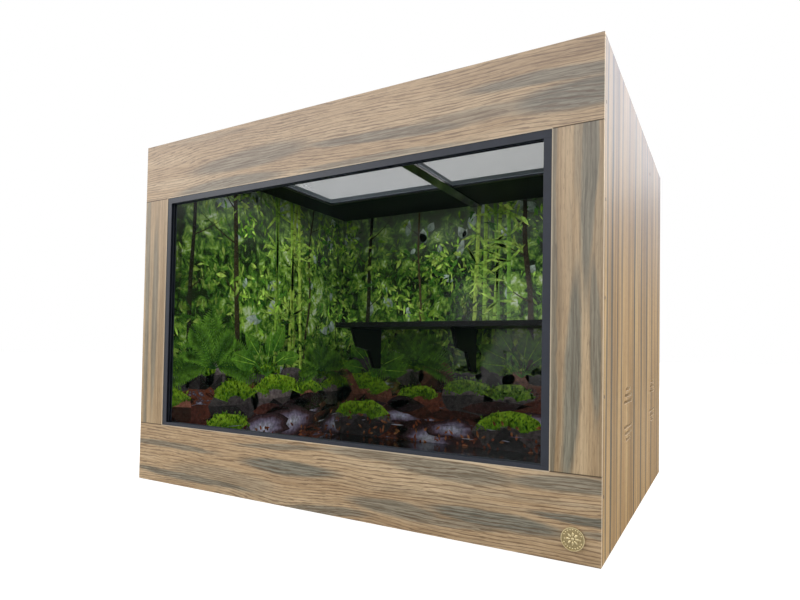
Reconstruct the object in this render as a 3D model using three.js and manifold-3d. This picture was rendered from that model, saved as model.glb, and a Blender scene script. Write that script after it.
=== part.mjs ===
// Terrarium cabinet with a framed front opening, two sliding glass panes, mesh panels in the ceiling,
// printed inner walls and a shelf on the back wall.
// Millimetres. X is the width from the centre, Y the depth from the face of the fascia backwards, Z up.
import * as THREE from "three";
import { mergeVertices } from "three/addons/utils/BufferGeometryUtils.js";
import Module from "manifold-3d";

// Carcass boards
const WIDTH = 1200;
const HEIGHT = 900;
const CARCASS_DEPTH = 900; // behind the fascia
const BOARD = 18;
const FASCIA_BOARD = 9;
const BACK_BOARD = 9;
const PRINT_BOARD = 4;

// Front opening
const TOP_RAIL = 150;
const BOTTOM_RAIL = 150;
const STILE = 88;

// Sliding glass and the two-groove track around it
const GLASS = 4;
const PANE_OVERLAP = 30;
const LIFT_CLEARANCE = 6.5; // room above a pane to lift it out of the bottom track
const TRACK_SETBACK = 1;
const TRACK_WALL = 2;
const TRACK_FLOOR = 2;
const TRACK_GROOVE = 5.7;
const TOP_TRACK_HEIGHT = 15;
const BOTTOM_TRACK_HEIGHT = 8;
const SIDE_CHANNEL_WIDTH = 15;

// Ceiling: two square mesh panels in aluminium frames, and a batten between them
const MESH_OPENING = 450;
const MESH_DIVIDER = 30; // ceiling board left between the openings
const MESH_REAR_MARGIN = 259; // from the back of the cabinet to the openings
const MESH_FRAME_BAR = 4;
const MESH_FRAME_RISE = 3; // above the underside of the ceiling
const MESH_FLANGE = 2;
const MESH_FLANGE_LAP = 8;
const MESH_SHEET = 1.5;
const MESH_STRAND = 6;
const MESH_COLUMNS = 8;
const BATTEN_WIDTH = 40;
const BATTEN_THICKNESS = 4;

// Shelf on three brackets
const SHELF_END_GAP = 108; // from each printed wall
const SHELF_DEPTH = 200;
const SHELF_BOARD = 18;
const SHELF_HEIGHT = 456; // of its top face above the ground
const BRACKET_BOARD = 12;
const BRACKET_END_INSET = 70; // of an outer bracket's middle from the shelf's end
const BRACKET_HEIGHT = 153;
const BRACKET_NOSE = { setback: 39, drop: 70 };
const BRACKET_WAIST = { reach: 84, drop: 82 };
const BRACKET_FOOT = { reach: 43, drop: 150 };

// Round groups of slots in the right side, each with a plain band across its middle
const VENT_DIAMETER = 120;
const VENT_HEIGHT = 231;
const VENT_FRONT_INSET = 285;
const VENT_REAR_INSET = 194;
const SLOT_HEIGHT = 6.5;
const SLOT_PITCH = 13;
const SLOT_ROWS = 9;
const PLAIN_ROWS = 3;

// Screws through the sides into the inner front frame
const SCREWS_PER_SIDE = 5;
const SCREW_PITCH = 168;
const SCREW = { headRadius: 3.2, headDepth: 2.5, shankRadius: 1.8, length: 45, tip: 5 };

// Plug in the probe hole high in the right side
const PLUG_REAR_INSET = 267;
const PLUG_TOP_INSET = 63;
const PLUG = { headRadius: 4.5, headDepth: 3, shankRadius: 3, tip: 0 };

// Round badge on the bottom rail, on two pins
const BADGE_RADIUS = 20;
const BADGE_THICKNESS = 3;
const BADGE_RIM = 1.5;
const BADGE_RECESS = 1;
const BADGE_SIDE_INSET = 46;
const BADGE_HEIGHT = 41;
const BADGE_PIN_SPREAD = 13; // from the badge's centre
const BADGE_PIN = { headRadius: 1.6, headDepth: 1, shankRadius: 0.8, length: 9, tip: 1 };

const FIT = 0.3; // clearance round what slides, drops or screws into place
const ROUND_SIDES = 16;
const BADGE_SIDES = 48;
const SLOT_END_STEPS = 4;

// Planes that several pieces share
const DEPTH = FASCIA_BOARD + CARCASS_DEPTH;
const OPENING_WIDTH = WIDTH - 2 * STILE;
const OPENING_BOTTOM = BOTTOM_RAIL;
const OPENING_TOP = HEIGHT - TOP_RAIL;
const SIDE_INNER = WIDTH / 2 - BOARD;
const PRINT_INNER = SIDE_INNER - PRINT_BOARD;
const FLOOR_TOP = BOARD;
const CEILING = HEIGHT - BOARD;
const FRAME_BACK = FASCIA_BOARD + BOARD;
const BACK_FRONT = DEPTH - BACK_BOARD;
const BACK_PRINT = BACK_FRONT - PRINT_BOARD;
const SHELF_HALF = PRINT_INNER - SHELF_END_GAP;

const finish = (color, roughness, metalness = 0) =>
  new THREE.MeshStandardMaterial({ color, roughness, metalness });
const oak = finish(0xc2a27c, 0.55);
const blackBoard = finish(0x101112, 0.25);
const printedBoard = finish(0x3c5a24, 0.2);
const trackPlastic = finish(0x2a2e33, 0.35);
const aluminium = finish(0xaeb4b8, 0.35, 0.9);
const brass = finish(0xb08d4a, 0.35, 0.9);
const screwSteel = finish(0x4a3a2c, 0.45, 0.6);
const plugRubber = finish(0x2b2724, 0.7);
const glass = new THREE.MeshStandardMaterial({
  color: 0xdfeeea,
  roughness: 0.03,
  transparent: true,
  opacity: 0.2,
});

const wasm = await Module();
wasm.setup();

// Faces that touch lie on a 1/1024 mm grid, which 32-bit vertices hold exactly.
const snap = (value) => Math.round(value * 1024) / 1024;

const span = (range) => snap(range[1]) - snap(range[0]);
const symmetric = (half) => [-half, half];

// A mesh's shape as a solid, in the frame of the whole cabinet.
function solidOf(mesh) {
  mesh.updateWorldMatrix(true, false);
  const bare = mesh.geometry.clone();
  bare.deleteAttribute("normal");
  bare.deleteAttribute("uv");
  const merged = mergeVertices(bare.applyMatrix4(mesh.matrixWorld));
  return new wasm.Manifold(
    new wasm.Mesh({
      numProp: 3,
      vertProperties: merged.getAttribute("position").array,
      triVerts: new Uint32Array(merged.index.array),
    }),
  );
}

// Gives a mesh the shape of a solid and leaves it where it is placed.
function reshape(mesh, solid) {
  const { vertProperties, triVerts } = solid.getMesh();
  const geometry = new THREE.BufferGeometry();
  geometry.setAttribute("position", new THREE.BufferAttribute(vertProperties, 3));
  geometry.setIndex(new THREE.BufferAttribute(triVerts, 1));
  geometry.applyMatrix4(mesh.matrixWorld.clone().invert());
  geometry.computeVertexNormals();
  mesh.geometry = geometry;
}

function cut(mesh, tools) {
  reshape(mesh, tools.reduce((solid, tool) => solid.subtract(solidOf(tool)), solidOf(mesh)));
}

function piece(name, material, geometry, x = 0, y = 0, z = 0) {
  const mesh = new THREE.Mesh(geometry, material);
  mesh.name = name;
  mesh.position.set(snap(x), snap(y), snap(z));
  return mesh;
}

// A rectangular board between the given limits on each axis.
function board(name, material, x, y, z) {
  const size = [x, y, z].map(span);
  const geometry = new THREE.BoxGeometry(...size);
  geometry.translate(...size.map((side) => side / 2));
  return piece(name, material, geometry, x[0], y[0], z[0]);
}

function outline(points) {
  return points.map(([u, v]) => new THREE.Vector2(snap(u), snap(v)));
}

function prism(points, depth, holes = []) {
  const shape = new THREE.Shape(outline(points));
  shape.holes = holes.map((hole) => new THREE.Path(outline(hole)));
  return new THREE.ExtrudeGeometry(shape, { depth: snap(depth), bevelEnabled: false });
}

// Turns a prism whose outline was drawn in Y and Z so that it runs along X.
const ALONG_X = new THREE.Matrix4().makeBasis(
  new THREE.Vector3(0, 1, 0),
  new THREE.Vector3(0, 0, 1),
  new THREE.Vector3(1, 0, 0),
);
const prismAlongX = (points, length) => prism(points, length).applyMatrix4(ALONG_X);

function square(half) {
  return [
    [-half, -half],
    [half, -half],
    [half, half],
    [-half, half],
  ];
}

// A headed pin, screw or plug along +X with the face of its head at x = 0.
function headedPin(pin, length, grow = 0) {
  const head = pin.headRadius + grow;
  const shank = pin.shankRadius + grow;
  const profile = [
    [0, 0],
    [head, 0],
    [head, pin.headDepth / 2],
    [shank, pin.headDepth + grow],
    [shank, length + grow - pin.tip],
    [pin.tip > 0 ? 0 : shank, length + grow],
    [0, length + grow],
  ];
  const closed = profile.filter(([r, y], i) => i === 0 || r !== profile[i - 1][0] || y !== profile[i - 1][1]);
  const geometry = new THREE.LatheGeometry(
    closed.map(([r, y]) => new THREE.Vector2(r, y)),
    ROUND_SIDES,
  );
  return geometry.rotateZ(-Math.PI / 2);
}

function fasciaBoards() {
  const y = [0, FASCIA_BOARD];
  const stileZ = [OPENING_BOTTOM, OPENING_TOP];
  return [
    board("top_fascia", oak, symmetric(WIDTH / 2), y, [OPENING_TOP, HEIGHT]),
    board("bottom_fascia", oak, symmetric(WIDTH / 2), y, [0, OPENING_BOTTOM]),
    board("left_fascia", oak, [-WIDTH / 2, -OPENING_WIDTH / 2], y, stileZ),
    board("right_fascia", oak, [OPENING_WIDTH / 2, WIDTH / 2], y, stileZ),
  ];
}

function innerFrontFrame() {
  const y = [FASCIA_BOARD, FRAME_BACK];
  const stileZ = [OPENING_BOTTOM, OPENING_TOP];
  return [
    board("front_frame_top", blackBoard, symmetric(SIDE_INNER), y, [OPENING_TOP, CEILING]),
    board("front_frame_bottom", blackBoard, symmetric(SIDE_INNER), y, [FLOOR_TOP, OPENING_BOTTOM]),
    board("front_frame_left", blackBoard, [-SIDE_INNER, -OPENING_WIDTH / 2], y, stileZ),
    board("front_frame_right", blackBoard, [OPENING_WIDTH / 2, SIDE_INNER], y, stileZ),
  ];
}

function carcassBoards() {
  const sideY = [FASCIA_BOARD, DEPTH];
  const innerY = [FASCIA_BOARD, BACK_FRONT];
  const inside = symmetric(SIDE_INNER);
  return [
    board("left_side_panel", oak, [-WIDTH / 2, -SIDE_INNER], sideY, [0, HEIGHT]),
    board("right_side_panel", oak, [SIDE_INNER, WIDTH / 2], sideY, [0, HEIGHT]),
    board("floor_panel", blackBoard, inside, innerY, [0, FLOOR_TOP]),
    board("top_panel", blackBoard, inside, innerY, [CEILING, HEIGHT]),
    board("back_panel", blackBoard, inside, [BACK_FRONT, DEPTH], [0, HEIGHT]),
  ];
}

function printedBoards() {
  const sideY = [FRAME_BACK, BACK_FRONT];
  const z = [FLOOR_TOP, CEILING];
  return [
    board("backdrop_left", printedBoard, [-SIDE_INNER, -PRINT_INNER], sideY, z),
    board("backdrop_right", printedBoard, [PRINT_INNER, SIDE_INNER], sideY, z),
    board("backdrop_back", printedBoard, symmetric(PRINT_INNER), [BACK_PRINT, BACK_FRONT], z),
  ];
}

const MESH_CENTRE_Y = DEPTH - MESH_REAR_MARGIN - MESH_OPENING / 2;
const MESH_CENTRE_X = (MESH_DIVIDER + MESH_OPENING) / 2;
const MESH_SIDES = [
  { side: "left", x: -MESH_CENTRE_X },
  { side: "right", x: MESH_CENTRE_X },
];

function meshOpening({ x }) {
  const geometry = prism(square(MESH_OPENING / 2), 3 * BOARD);
  return piece("", aluminium, geometry, x, MESH_CENTRE_Y, CEILING - BOARD);
}

// Aluminium frame: a bar that stands in the opening and a flange that laps the ceiling from below.
function meshFrame({ side, x }) {
  const inner = MESH_OPENING / 2 - MESH_FRAME_BAR;
  const flangeHalf = MESH_OPENING / 2 + MESH_FLANGE_LAP;
  const barHalf = MESH_OPENING / 2 - FIT;
  const flangeShape = prism(square(flangeHalf), MESH_FLANGE, [square(inner)]);
  const barShape = prism(square(barHalf), MESH_FRAME_RISE, [square(inner)]);
  const flange = piece("", aluminium, flangeShape, x, MESH_CENTRE_Y, CEILING - MESH_FLANGE);
  const frame = piece(`mesh_frame_${side}`, aluminium, barShape, x, MESH_CENTRE_Y, CEILING);
  reshape(frame, solidOf(frame).add(solidOf(flange)));
  return frame;
}

// Diamond net: square gaps on their corners, in rows and in the rows between them.
function meshSheet({ side, x }) {
  const half = MESH_OPENING / 2 - FIT;
  const field = 2 * (MESH_OPENING / 2 - MESH_FRAME_BAR);
  const step = field / MESH_COLUMNS / 2;
  const reach = step - MESH_STRAND / Math.SQRT2;
  const z = CEILING + MESH_FRAME_RISE;
  const diamond = [
    [-reach, 0],
    [0, -reach],
    [reach, 0],
    [0, reach],
  ];
  const gaps = [];
  for (let row = 1; row < 2 * MESH_COLUMNS; row++) {
    for (let column = 2 - (row % 2); column < 2 * MESH_COLUMNS; column += 2) {
      const gapX = x + column * step - field / 2;
      const gapY = MESH_CENTRE_Y + row * step - field / 2;
      gaps.push(piece("", aluminium, prism(diamond, 3 * MESH_SHEET), gapX, gapY, z - MESH_SHEET));
    }
  }
  const sheet = piece(`mesh_${side}`, aluminium, prism(square(half), MESH_SHEET), x, MESH_CENTRE_Y, z);
  cut(sheet, gaps);
  return sheet;
}

// It lies against the flanges of both frames and hides the divider.
function ceilingBatten() {
  const top = CEILING - MESH_FLANGE;
  const z = [top - BATTEN_THICKNESS, top];
  return board("centre_batten", blackBoard, symmetric(BATTEN_WIDTH / 2), [FRAME_BACK, BACK_PRINT], z);
}

// Section of the track: three walls on a floor, with a groove for each pane between them.
const TRACK_DEPTH = 3 * TRACK_WALL + 2 * TRACK_GROOVE;
function trackSection(height) {
  const points = [
    [0, 0],
    [TRACK_DEPTH, 0],
    [TRACK_DEPTH, height],
  ];
  for (const groove of [1, 0]) {
    const near = TRACK_WALL + groove * (TRACK_WALL + TRACK_GROOVE);
    const far = near + TRACK_GROOVE;
    points.push([far, height], [far, TRACK_FLOOR], [near, TRACK_FLOOR], [near, height]);
  }
  points.push([0, height]);
  return points;
}

// The same section runs round the opening, its grooves towards the middle.
function tracks() {
  const half = OPENING_WIDTH / 2;
  const channelBottom = OPENING_BOTTOM + BOTTOM_TRACK_HEIGHT;
  const channelTop = OPENING_TOP - TOP_TRACK_HEIGHT;
  const channelLength = channelTop - channelBottom;
  const runs = [
    { name: "bottom_track", height: BOTTOM_TRACK_HEIGHT, length: OPENING_WIDTH, turn: 0, x: -half, z: OPENING_BOTTOM },
    { name: "left_channel", height: SIDE_CHANNEL_WIDTH, length: channelLength, turn: 1, x: -half, z: channelTop },
    { name: "top_track", height: TOP_TRACK_HEIGHT, length: OPENING_WIDTH, turn: 2, x: half, z: OPENING_TOP },
    { name: "right_channel", height: SIDE_CHANNEL_WIDTH, length: channelLength, turn: 3, x: half, z: channelBottom },
  ];
  return runs.map(({ name, height, length, turn, x, z }) => {
    const geometry = prismAlongX(trackSection(height), length);
    const run = piece(name, trackPlastic, geometry, x, TRACK_SETBACK, z);
    run.rotation.y = (turn * Math.PI) / 2;
    return run;
  });
}

// The left pane runs in the rear groove and the right pane in the front one; they lap in the middle.
function glassPanes() {
  const edge = OPENING_WIDTH / 2 - TRACK_FLOOR - FIT;
  const lap = PANE_OVERLAP / 2;
  const bottom = OPENING_BOTTOM + TRACK_FLOOR + FIT;
  const z = [bottom, OPENING_TOP - TRACK_FLOOR - LIFT_CLEARANCE];
  const grooveCentre = TRACK_SETBACK + TRACK_WALL + TRACK_GROOVE / 2;
  const paneY = (groove) => {
    const middle = grooveCentre + groove * (TRACK_WALL + TRACK_GROOVE);
    return [middle - GLASS / 2, middle + GLASS / 2];
  };
  return [
    board("glass_pane_left", glass, [-edge, lap], paneY(1), z),
    board("glass_pane_right", glass, [-lap, edge], paneY(0), z),
  ];
}

function shelf() {
  const y = [BACK_PRINT - SHELF_DEPTH, BACK_PRINT];
  return board("shelf", blackBoard, symmetric(SHELF_HALF), y, [SHELF_HEIGHT - SHELF_BOARD, SHELF_HEIGHT]);
}

// Bracket plate: a long arm under the shelf that steps down to a foot on the wall.
function shelfBrackets() {
  const side = [
    [0, 0],
    [-SHELF_DEPTH, 0],
    [BRACKET_NOSE.setback - SHELF_DEPTH, -BRACKET_NOSE.drop],
    [-BRACKET_WAIST.reach, -BRACKET_WAIST.drop],
    [-BRACKET_FOOT.reach, -BRACKET_FOOT.drop],
    [0, -BRACKET_HEIGHT],
  ];
  const underShelf = SHELF_HEIGHT - SHELF_BOARD;
  return ["left", "centre", "right"].map((place, i) => {
    const x = (i - 1) * (SHELF_HALF - BRACKET_END_INSET) - BRACKET_BOARD / 2;
    const geometry = prismAlongX(side, BRACKET_BOARD);
    return piece(`shelf_bracket_${place}`, blackBoard, geometry, x, BACK_PRINT, underShelf);
  });
}

// One slot with round ends, from the outer face of the right side inwards.
function ventSlot(y, z, length) {
  const radius = SLOT_HEIGHT / 2;
  const straight = Math.max(length / 2 - radius, 0);
  const points = [];
  for (const end of [1, -1]) {
    for (let i = 0; i <= SLOT_END_STEPS; i++) {
      const angle = end * (-Math.PI / 2 + (i * Math.PI) / SLOT_END_STEPS);
      points.push([end * straight + radius * Math.cos(angle) * end, radius * Math.sin(angle)]);
    }
  }
  return piece("", oak, prismAlongX(points, WIDTH), PRINT_INNER - BOARD, y, z);
}

function ventSlots() {
  const slots = [];
  const middle = (SLOT_ROWS - 1) / 2;
  for (const y of [VENT_FRONT_INSET, DEPTH - VENT_REAR_INSET]) {
    for (let row = 0; row < SLOT_ROWS; row++) {
      const rise = (row - middle) * SLOT_PITCH;
      const length = 2 * Math.sqrt(Math.max((VENT_DIAMETER / 2) ** 2 - rise ** 2, 0));
      const plain = Math.abs(row - middle) < PLAIN_ROWS / 2;
      if (!plain && length > SLOT_HEIGHT) slots.push(ventSlot(y, VENT_HEIGHT + rise, length));
    }
  }
  return slots;
}

const SIDES = [
  { side: "left", x: -WIDTH / 2, turn: 0 },
  { side: "right", x: WIDTH / 2, turn: Math.PI },
];

function sideScrews(grow = 0) {
  const y = FASCIA_BOARD + BOARD / 2;
  return SIDES.flatMap(({ side, x, turn }) =>
    Array.from({ length: SCREWS_PER_SIDE }, (_, i) => {
      const z = HEIGHT / 2 + (i - (SCREWS_PER_SIDE - 1) / 2) * SCREW_PITCH;
      const geometry = headedPin(SCREW, SCREW.length, grow);
      const screw = piece(`side_screw_${side}_${i + 1}`, screwSteel, geometry, x, y, z);
      screw.rotation.z = turn;
      return screw;
    }),
  );
}

function probePlug(grow = 0) {
  const geometry = headedPin(PLUG, BOARD + PRINT_BOARD, grow);
  const y = DEPTH - PLUG_REAR_INSET;
  const plug = piece("probe_port_plug", plugRubber, geometry, WIDTH / 2, y, HEIGHT - PLUG_TOP_INSET);
  plug.rotation.z = Math.PI;
  return plug;
}

const BADGE_X = WIDTH / 2 - BADGE_SIDE_INSET;

// Disc with a raised rim, its axis along Y and its back on the fascia.
function badge() {
  const face = BADGE_THICKNESS - BADGE_RECESS;
  const profile = [
    [0, 0],
    [BADGE_RADIUS, 0],
    [BADGE_RADIUS, BADGE_THICKNESS],
    [BADGE_RADIUS - BADGE_RIM, BADGE_THICKNESS],
    [BADGE_RADIUS - BADGE_RIM, face],
    [0, face],
  ];
  const geometry = new THREE.LatheGeometry(
    profile.map(([r, y]) => new THREE.Vector2(r, y)),
    BADGE_SIDES,
  );
  const disc = piece("badge", brass, geometry, BADGE_X, 0, BADGE_HEIGHT);
  disc.rotation.z = Math.PI;
  return disc;
}

function badgePins(grow = 0) {
  return ["left", "right"].map((place, i) => {
    const x = BADGE_X + (2 * i - 1) * BADGE_PIN_SPREAD;
    const geometry = headedPin(BADGE_PIN, BADGE_PIN.length, grow);
    const pin = piece(`badge_pin_${place}`, brass, geometry, x, -BADGE_THICKNESS, BADGE_HEIGHT);
    pin.rotation.z = Math.PI / 2;
    return pin;
  });
}

function build() {
  const cabinet = new THREE.Group();
  const add = (...meshes) => cabinet.add(...meshes);
  add(...fasciaBoards(), ...innerFrontFrame(), ...carcassBoards(), ...printedBoards());
  add(ceilingBatten(), ...MESH_SIDES.map(meshFrame), ...MESH_SIDES.map(meshSheet));
  add(...tracks(), ...glassPanes());
  add(shelf(), ...shelfBrackets());
  add(...sideScrews(), probePlug(), badge(), ...badgePins());

  const named = (name) => cabinet.getObjectByName(name);
  const screwHoles = sideScrews(FIT);
  const leftHoles = screwHoles.slice(0, SCREWS_PER_SIDE);
  const rightHoles = screwHoles.slice(SCREWS_PER_SIDE);
  const slots = ventSlots();
  const plugHole = probePlug(FIT);
  const pinHoles = badgePins(FIT / 2);
  cut(named("top_panel"), MESH_SIDES.map(meshOpening));
  cut(named("left_side_panel"), leftHoles);
  cut(named("right_side_panel"), [...rightHoles, ...slots, plugHole]);
  cut(named("backdrop_right"), [...slots, plugHole]);
  for (const part of ["top", "bottom", "left", "right"]) cut(named(`front_frame_${part}`), screwHoles);
  cut(named("badge"), pinHoles);
  cut(named("bottom_fascia"), pinHoles);
  return cabinet;
}

// The origin is under the middle of the whole, badge included.
const cabinet = build();
cabinet.position.y = snap((BADGE_THICKNESS - DEPTH) / 2);

export default cabinet;
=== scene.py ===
import math
import random

import bmesh
import bpy
from mathutils import Matrix, Vector


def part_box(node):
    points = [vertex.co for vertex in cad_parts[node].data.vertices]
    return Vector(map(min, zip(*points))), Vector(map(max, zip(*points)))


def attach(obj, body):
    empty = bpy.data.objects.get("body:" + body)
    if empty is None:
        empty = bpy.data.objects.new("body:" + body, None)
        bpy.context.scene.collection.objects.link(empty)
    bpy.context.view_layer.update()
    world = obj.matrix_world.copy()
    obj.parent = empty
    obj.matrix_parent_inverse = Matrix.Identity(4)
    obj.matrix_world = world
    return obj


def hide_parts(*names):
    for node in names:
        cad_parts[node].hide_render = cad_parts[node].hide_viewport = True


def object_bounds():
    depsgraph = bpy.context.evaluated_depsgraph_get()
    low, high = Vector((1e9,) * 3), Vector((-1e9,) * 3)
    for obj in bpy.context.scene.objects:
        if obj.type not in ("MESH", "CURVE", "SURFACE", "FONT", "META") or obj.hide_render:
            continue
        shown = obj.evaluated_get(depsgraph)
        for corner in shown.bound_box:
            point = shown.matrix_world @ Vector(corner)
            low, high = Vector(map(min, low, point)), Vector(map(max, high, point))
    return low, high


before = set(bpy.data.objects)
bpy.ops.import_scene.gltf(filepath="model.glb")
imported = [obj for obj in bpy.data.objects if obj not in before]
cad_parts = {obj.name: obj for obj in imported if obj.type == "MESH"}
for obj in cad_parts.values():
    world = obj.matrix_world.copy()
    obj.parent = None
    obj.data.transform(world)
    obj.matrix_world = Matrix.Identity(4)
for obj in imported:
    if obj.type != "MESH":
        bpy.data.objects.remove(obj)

CAD_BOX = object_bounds()
CABINET = "cabinet"

# Camera
CAMERA_PLACE = (0.77998, -1.43729, 0.35283)
CAMERA_YAW, CAMERA_PITCH, CAMERA_ROLL = -29.9986, 1.44525, 0.93967
CAMERA_LENS = 25.4729
CAMERA_SENSOR = 36.0
CAMERA_SHIFT = (-0.00116, 0.04666)

# Light
WORLD_STRENGTH = 0.70
SHOWN_WHITE = 1.0
FLOOR_REACH = 30.0
FLOOR_DROP = 0.0005
FLOOR_GLOW = 0.64
FLOOR_TONES = ((0.62, 0.62, 0.62, 1), (0.66, 0.66, 0.66, 1))
LAMPS = {
    "front_lamp": {"place": (-2.4, -1.9, 2.6), "aim": (0, 0, 0.6), "size": 2.2, "power": 57},
    "side_lamp": {"place": (1.25, 4.2, 3.15), "aim": (0.6, 0, 0.6), "size": 2.6, "power": 88},
    "low_lamp": {"place": (3.2, -0.6, 0.5), "aim": (0.6, 0, 0.1), "size": 1.6, "power": 20},
    "roof_lamp": {"place": (0.3, -0.05, 1.4), "aim": (0.25, 0.1, 0.9), "size": 0.9, "power": 14},
    "inner_lamp": {"place": (0, -0.05, 0.868), "aim": (0, -0.05, 0), "size": 0.7, "power": 1.6},
}
UNMIRRORED = "inner_lamp"  # it stands in for light that falls through the ceiling mesh

# Rounding of board edges
EDGE_ROUND = {"wood": 0.0004, "vent": 0.0004, "trim": 0.0003}

# Fine mesh of the ceiling panels
STRAND_PITCH = 0.0042
STRAND_WIDTH = 0.0016
STRAND_THICK = 0.00025
STRAND_HEM = 0.004
STRAND_LEAST = 0.004  # length below which a corner strand is left out

# Badge
BADGE_RECESS = 0.001
BEADS = {"count": 22, "ring": 0.0160, "size": (0.0015, 0.0009, 0.0015)}
PETALS = {"count": 8, "ring": 0.0076, "size": (0.0042, 0.0009, 0.0020)}
BADGE_HUB = (0.0028, 0.00095, 0.0028)
BEADLESS = 0.2  # sine of the angle from the pins within which no bead stands


def tone(red, green, blue):
    """Linear colour of an 8-bit screen colour."""
    parts = (c / 255 for c in (red, green, blue))
    return tuple(c / 12.92 if c <= 0.04045 else ((c + 0.055) / 1.055) ** 2.4 for c in parts) + (1.0,)


class Tree:
    """A material and short ways to add nodes to it."""

    def __init__(self, name):
        self.material = bpy.data.materials.new(name)
        self.material.use_nodes = True
        self.tree = self.material.node_tree
        self.shader = self.tree.nodes["Principled BSDF"]

    def feed(self, socket, value):
        if isinstance(value, bpy.types.NodeSocket):
            self.tree.links.new(value, socket)
        else:
            socket.default_value = value

    def add(self, kind, inputs=None, **settings):
        node = self.tree.nodes.new("ShaderNode" + kind)
        for key, value in settings.items():
            setattr(node, key, value)
        for key, value in (inputs or {}).items():
            self.feed(node.inputs[key], value)
        return node

    def set(self, **sockets):
        for key, value in sockets.items():
            self.feed(self.shader.inputs[key.replace("_", " ")], value)

    def math(self, operation, first, second=0.0, clamp=False):
        return self.add("Math", {0: first, 1: second}, operation=operation, use_clamp=clamp).outputs[0]

    def mix(self, share, first, second, blend="MIX"):
        node = self.add("Mix", {0: share, 6: first, 7: second}, data_type="RGBA", blend_type=blend)
        return node.outputs[2]

    def ramp(self, value, stops):
        node = self.add("ValToRGB", {0: value})
        elements = node.color_ramp.elements
        while len(elements) < len(stops):
            elements.new(0.5)
        for element, (position, colour) in zip(elements, stops):
            element.position = position
            element.color = colour
        return node.outputs[0]

    def step(self, value, low, high):
        """0 below low and 1 above high, or the other way round where low is the larger."""
        inputs = {0: value, 1: low, 2: high}
        return self.add("MapRange", inputs, interpolation_type="SMOOTHSTEP").outputs[0]

    def place(self):
        return self.add("TexCoord").outputs["Object"]

    def parts(self, vector):
        return self.add("SeparateXYZ", {0: vector}).outputs

    def vector(self, x, y, z=0.0):
        return self.add("CombineXYZ", {0: x, 1: y, 2: z}).outputs[0]

    def scaled(self, vector, factors):
        return self.add("VectorMath", {0: vector, 1: factors}, operation="MULTIPLY").outputs[0]

    def noise(self, vector, scale, detail=3.0, roughness=0.5, distortion=0.0):
        inputs = {"Vector": vector, "Scale": scale, "Detail": detail}
        inputs.update({"Roughness": roughness, "Distortion": distortion})
        return self.add("TexNoise", inputs).outputs[0]

    def bump(self, height, strength, distance):
        inputs = {"Height": height, "Strength": strength, "Distance": distance}
        return self.add("Bump", inputs).outputs[0]


# Grey-green streaks of the oak print: start and end along and across the grain, width, strength.
RAIL_STREAKS = (
    (-0.470, 0.806, 0.020, 0.819, 0.036, 0.75),
    (-0.100, 0.817, 0.420, 0.786, 0.016, 0.85),
    (-0.520, 0.757, -0.060, 0.759, 0.024, 0.85),
    (-0.120, 0.757, 0.420, 0.752, 0.014, 0.75),
    (0.300, 0.853, 0.720, 0.838, 0.020, 0.9),
    (0.380, 0.796, 0.820, 0.816, 0.040, 1.0),
    (0.160, 0.803, 0.560, 0.799, 0.020, 0.6),
    (-0.720, 0.099, -0.260, 0.098, 0.012, 0.8),
    (-0.700, 0.036, -0.100, 0.019, 0.014, 0.9),
    (-0.520, 0.046, -0.060, 0.036, 0.040, 0.45),
    (-0.260, 0.088, 0.100, 0.090, 0.024, 1.0),
    (-0.120, 0.002, 0.180, 0.015, 0.016, 0.8),
    (0.060, 0.043, 0.340, 0.036, 0.026, 0.85),
    (-0.280, 0.127, 0.060, 0.138, 0.009, 0.75),
    (-0.040, 0.139, 0.420, 0.138, 0.016, 0.7),
    (0.140, 0.133, 0.500, 0.124, 0.030, 0.8),
    (0.380, 0.126, 0.760, 0.134, 0.022, 0.85),
    (0.240, 0.056, 0.580, 0.042, 0.024, 1.0),
    (0.440, 0.073, 0.760, 0.069, 0.012, 1.0),
    (0.180, 0.027, 0.460, 0.033, 0.012, 0.7),
    (0.540, 0.050, 0.700, 0.050, 0.010, 0.7),
)
STILE_STREAKS = (
    (-0.200, 0.519, 1.100, 0.520, 0.009, 0.8),
    (0.380, 0.574, 1.000, 0.578, 0.021, 1.0),
    (0.060, 0.540, 0.560, 0.560, 0.022, 1.0),
    (0.580, 0.558, 0.900, 0.558, 0.009, 0.5),
    (0.200, 0.592, 0.560, 0.588, 0.015, 0.9),
    (-0.200, -0.586, 1.100, -0.585, 0.013, 0.8),
    (0.120, -0.554, 0.760, -0.552, 0.019, 0.8),
)
SIDE_STREAKS = tuple(
    (-0.3, across, 1.2, across + 0.003, width, strength)
    for across, width, strength in (
        (-0.419, 0.011, 0.9),
        (-0.371, 0.015, 1.0),
        (-0.310, 0.007, 0.9),
        (-0.261, 0.015, 0.6),
        (-0.170, 0.010, 0.4),
        (-0.083, 0.018, 1.0),
        (-0.020, 0.009, 0.5),
        (0.030, 0.015, 1.0),
        (0.072, 0.008, 0.4),
        (0.132, 0.018, 0.9),
        (0.233, 0.015, 0.8),
        (0.320, 0.010, 0.5),
        (0.396, 0.016, 0.8),
    )
)

# Colours of the oak print: darkest to lightest wood, darkest and lightest streak.
RAIL_TONES = [tone(*c) for c in (
    (170, 141, 107), (194, 164, 126), (214, 188, 152), (96, 98, 88), (136, 134, 120),
)]
STILE_TONES = [tone(*c) for c in (
    (164, 137, 101), (190, 162, 124), (208, 183, 146), (96, 98, 86), (134, 132, 116),
)]
SIDE_TONES = [tone(*c) for c in (
    (138, 106, 62), (180, 143, 90), (212, 177, 120), (54, 50, 38), (90, 84, 66),
)]

# Painted glare of light from above, the wood paler towards the top: heights where it starts and is full,
# share, colour.
FRONT_GLARE = (0.05, 1.0, 0.20, tone(212, 202, 200))
SIDE_GLARE = (0.40, 0.95, 0.42, tone(158, 172, 200))

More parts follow.
